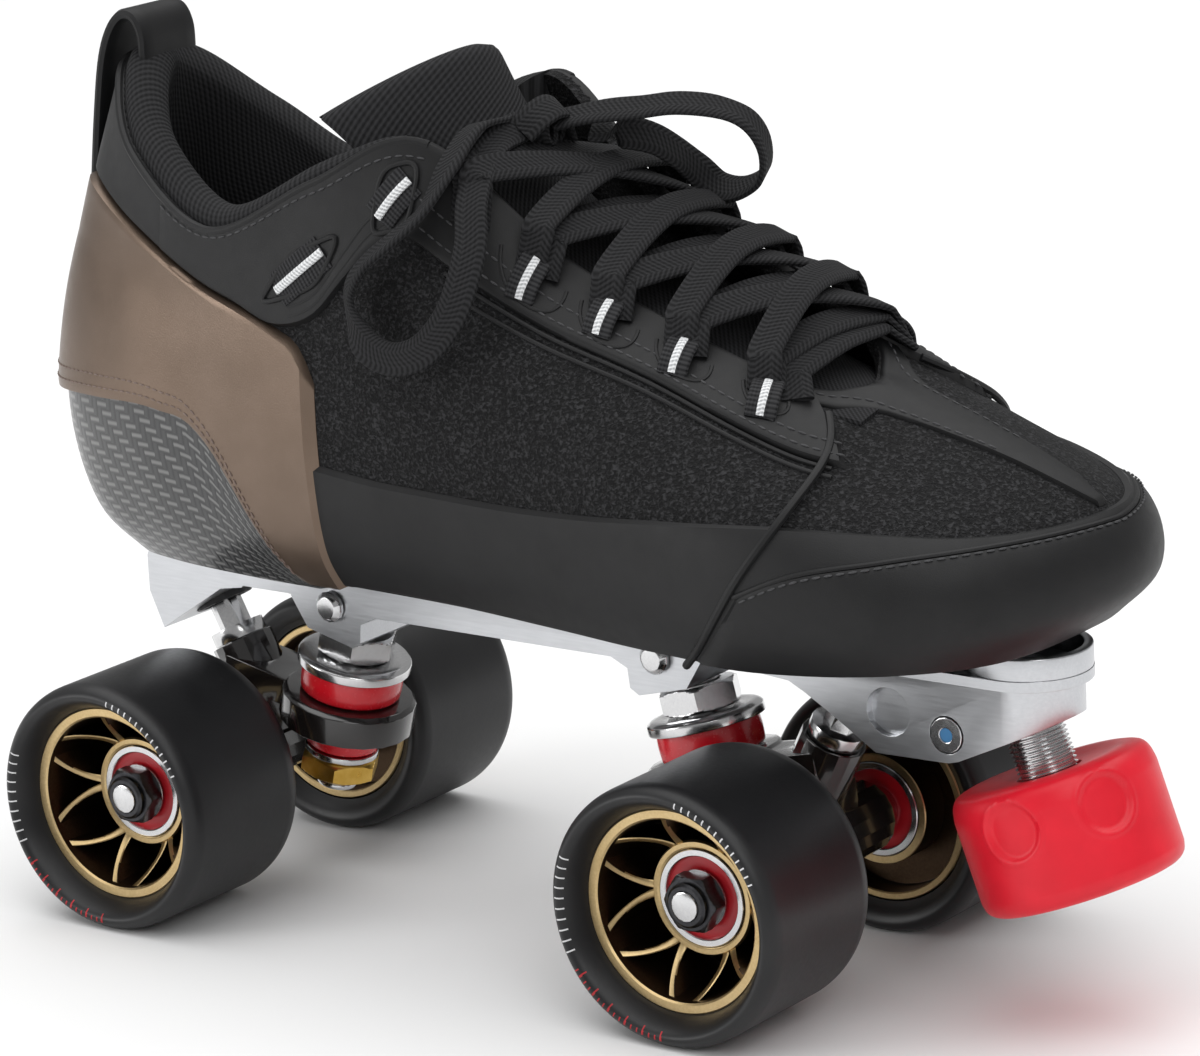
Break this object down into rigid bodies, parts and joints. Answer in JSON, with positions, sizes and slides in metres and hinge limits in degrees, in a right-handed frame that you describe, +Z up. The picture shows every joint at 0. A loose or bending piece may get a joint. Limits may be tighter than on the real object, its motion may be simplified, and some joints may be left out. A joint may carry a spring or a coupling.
{
  "type": "quad roller skate",
  "caption": "Low-cut quad roller skate: laced boot on a carbon sole, aluminium plate, two sprung steering trucks, four wheels and an adjustable toe stop.",
  "frame": {"origin": "on the ground under the middle of the skate's length and width", "axes": "+X towards the toe, +Y towards the other foot (medial side of a right skate), +Z up"},
  "size_m": [0.2929, 0.123, 0.2065],
  "materials": {
    "urethane": "satin black cast urethane",
    "hub": "anodised gold edges over a dark bronze hub",
    "bearing": "polished steel ring with a red shield",
    "steel": "polished steel",
    "dark_steel": "black oxide steel",
    "yellow_zinc": "yellow zinc plated steel",
    "cushion": "glossy red urethane",
    "hanger": "glossy black coated aluminium",
    "aluminium": "satin machined aluminium",
    "toe_stop": "red urethane",
    "cup": "black nylon",
    "carbon": "clear coated carbon fibre weave",
    "textile": "pebbled black ballistic textile",
    "leather": "smooth black microfibre",
    "bronze": "metallic bronze microfibre",
    "lining": "ribbed black lining textile",
    "lace": "flat woven black lace"
  },
  "bodies": {
    "skate": {"front_pivot_cup": "cup", "front_kingpin": "steel", "front_upper_cushion": "cushion", "front_upper_washer": "steel", "front_jam_nut": "steel", "front_lower_cushion": "cushion", "front_lower_washer": "steel", "front_kingpin_nut": "yellow_zinc", "front_kingpin_screw": "steel", "rear_pivot_cup": "cup", "rear_kingpin": "steel", "rear_upper_cushion": "cushion", "rear_upper_washer": "steel", "rear_jam_nut": "steel", "rear_lower_cushion": "cushion", "rear_lower_washer": "steel", "rear_kingpin_nut": "yellow_zinc", "rear_kingpin_screw": "steel", "plate": "aluminium", "toe_stop_lock_screw": "steel", "carbon_shell": "carbon", "insole": "lining", "upper": "textile", "toe_rand": "leather", "heel_counter": "bronze", "eyestay": "leather", "collar_lining": "lining", "tongue": "lining", "pull_tab": "leather", "lacing": "lace", "medial_lace_loop": "lace", "lateral_lace_loop": "lace"},
    "front_lateral_wheel": {"front_lateral_tyre": "urethane", "front_lateral_hub": "hub", "front_lateral_outer_bearing": "bearing", "front_lateral_inner_bearing": "bearing"},
    "front_medial_wheel": {"front_medial_tyre": "urethane", "front_medial_hub": "hub", "front_medial_outer_bearing": "bearing", "front_medial_inner_bearing": "bearing"},
    "front_truck": {"front_hanger": "hanger", "front_axle": "steel", "front_pivot_pin": "steel", "front_lateral_axle_nut": "dark_steel", "front_medial_axle_nut": "dark_steel"},
    "rear_lateral_wheel": {"rear_lateral_tyre": "urethane", "rear_lateral_hub": "hub", "rear_lateral_outer_bearing": "bearing", "rear_lateral_inner_bearing": "bearing"},
    "rear_medial_wheel": {"rear_medial_tyre": "urethane", "rear_medial_hub": "hub", "rear_medial_outer_bearing": "bearing", "rear_medial_inner_bearing": "bearing"},
    "rear_truck": {"rear_hanger": "hanger", "rear_axle": "steel", "rear_pivot_pin": "steel", "rear_lateral_axle_nut": "dark_steel", "rear_medial_axle_nut": "dark_steel"},
    "toe_stop_assembly": {"toe_stop": "toe_stop", "toe_stop_stem": "steel"}
  },
  "joints": [
    {"name": "front_truck_steer", "type": "hinge", "parent": "skate", "child": "front_truck", "pos_m": [0.03051, 0, 0.0418], "axis": [0.8216, 0, 0.5701], "range_deg": [-8, 8], "stiffness_Nm_per_rad": 25, "deforming": ["front_upper_cushion", "front_lower_cushion"]},
    {"name": "front_lateral_wheel_spin", "type": "hinge", "parent": "front_truck", "child": "front_lateral_wheel", "pos_m": [0.05671, -0.042, 0.0295], "axis": [0, 1, 0], "continuous": true},
    {"name": "front_medial_wheel_spin", "type": "hinge", "parent": "front_truck", "child": "front_medial_wheel", "pos_m": [0.05671, 0.042, 0.0295], "axis": [0, 1, 0], "continuous": true},
    {"name": "rear_truck_steer", "type": "hinge", "parent": "skate", "child": "rear_truck", "pos_m": [-0.07609, 0, 0.0418], "axis": [-0.8216, 0, 0.5701], "range_deg": [-8, 8], "stiffness_Nm_per_rad": 25, "deforming": ["rear_upper_cushion", "rear_lower_cushion"]},
    {"name": "rear_lateral_wheel_spin", "type": "hinge", "parent": "rear_truck", "child": "rear_lateral_wheel", "pos_m": [-0.10229, -0.042, 0.0295], "axis": [0, 1, 0], "continuous": true},
    {"name": "rear_medial_wheel_spin", "type": "hinge", "parent": "rear_truck", "child": "rear_medial_wheel", "pos_m": [-0.10229, 0.042, 0.0295], "axis": [0, 1, 0], "continuous": true},
    {"name": "toe_stop_height", "type": "slide", "parent": "skate", "child": "toe_stop_assembly", "axis": [-0.342, 0, 0.9397], "range_m": [-0.004, 0.004]}
  ]
}
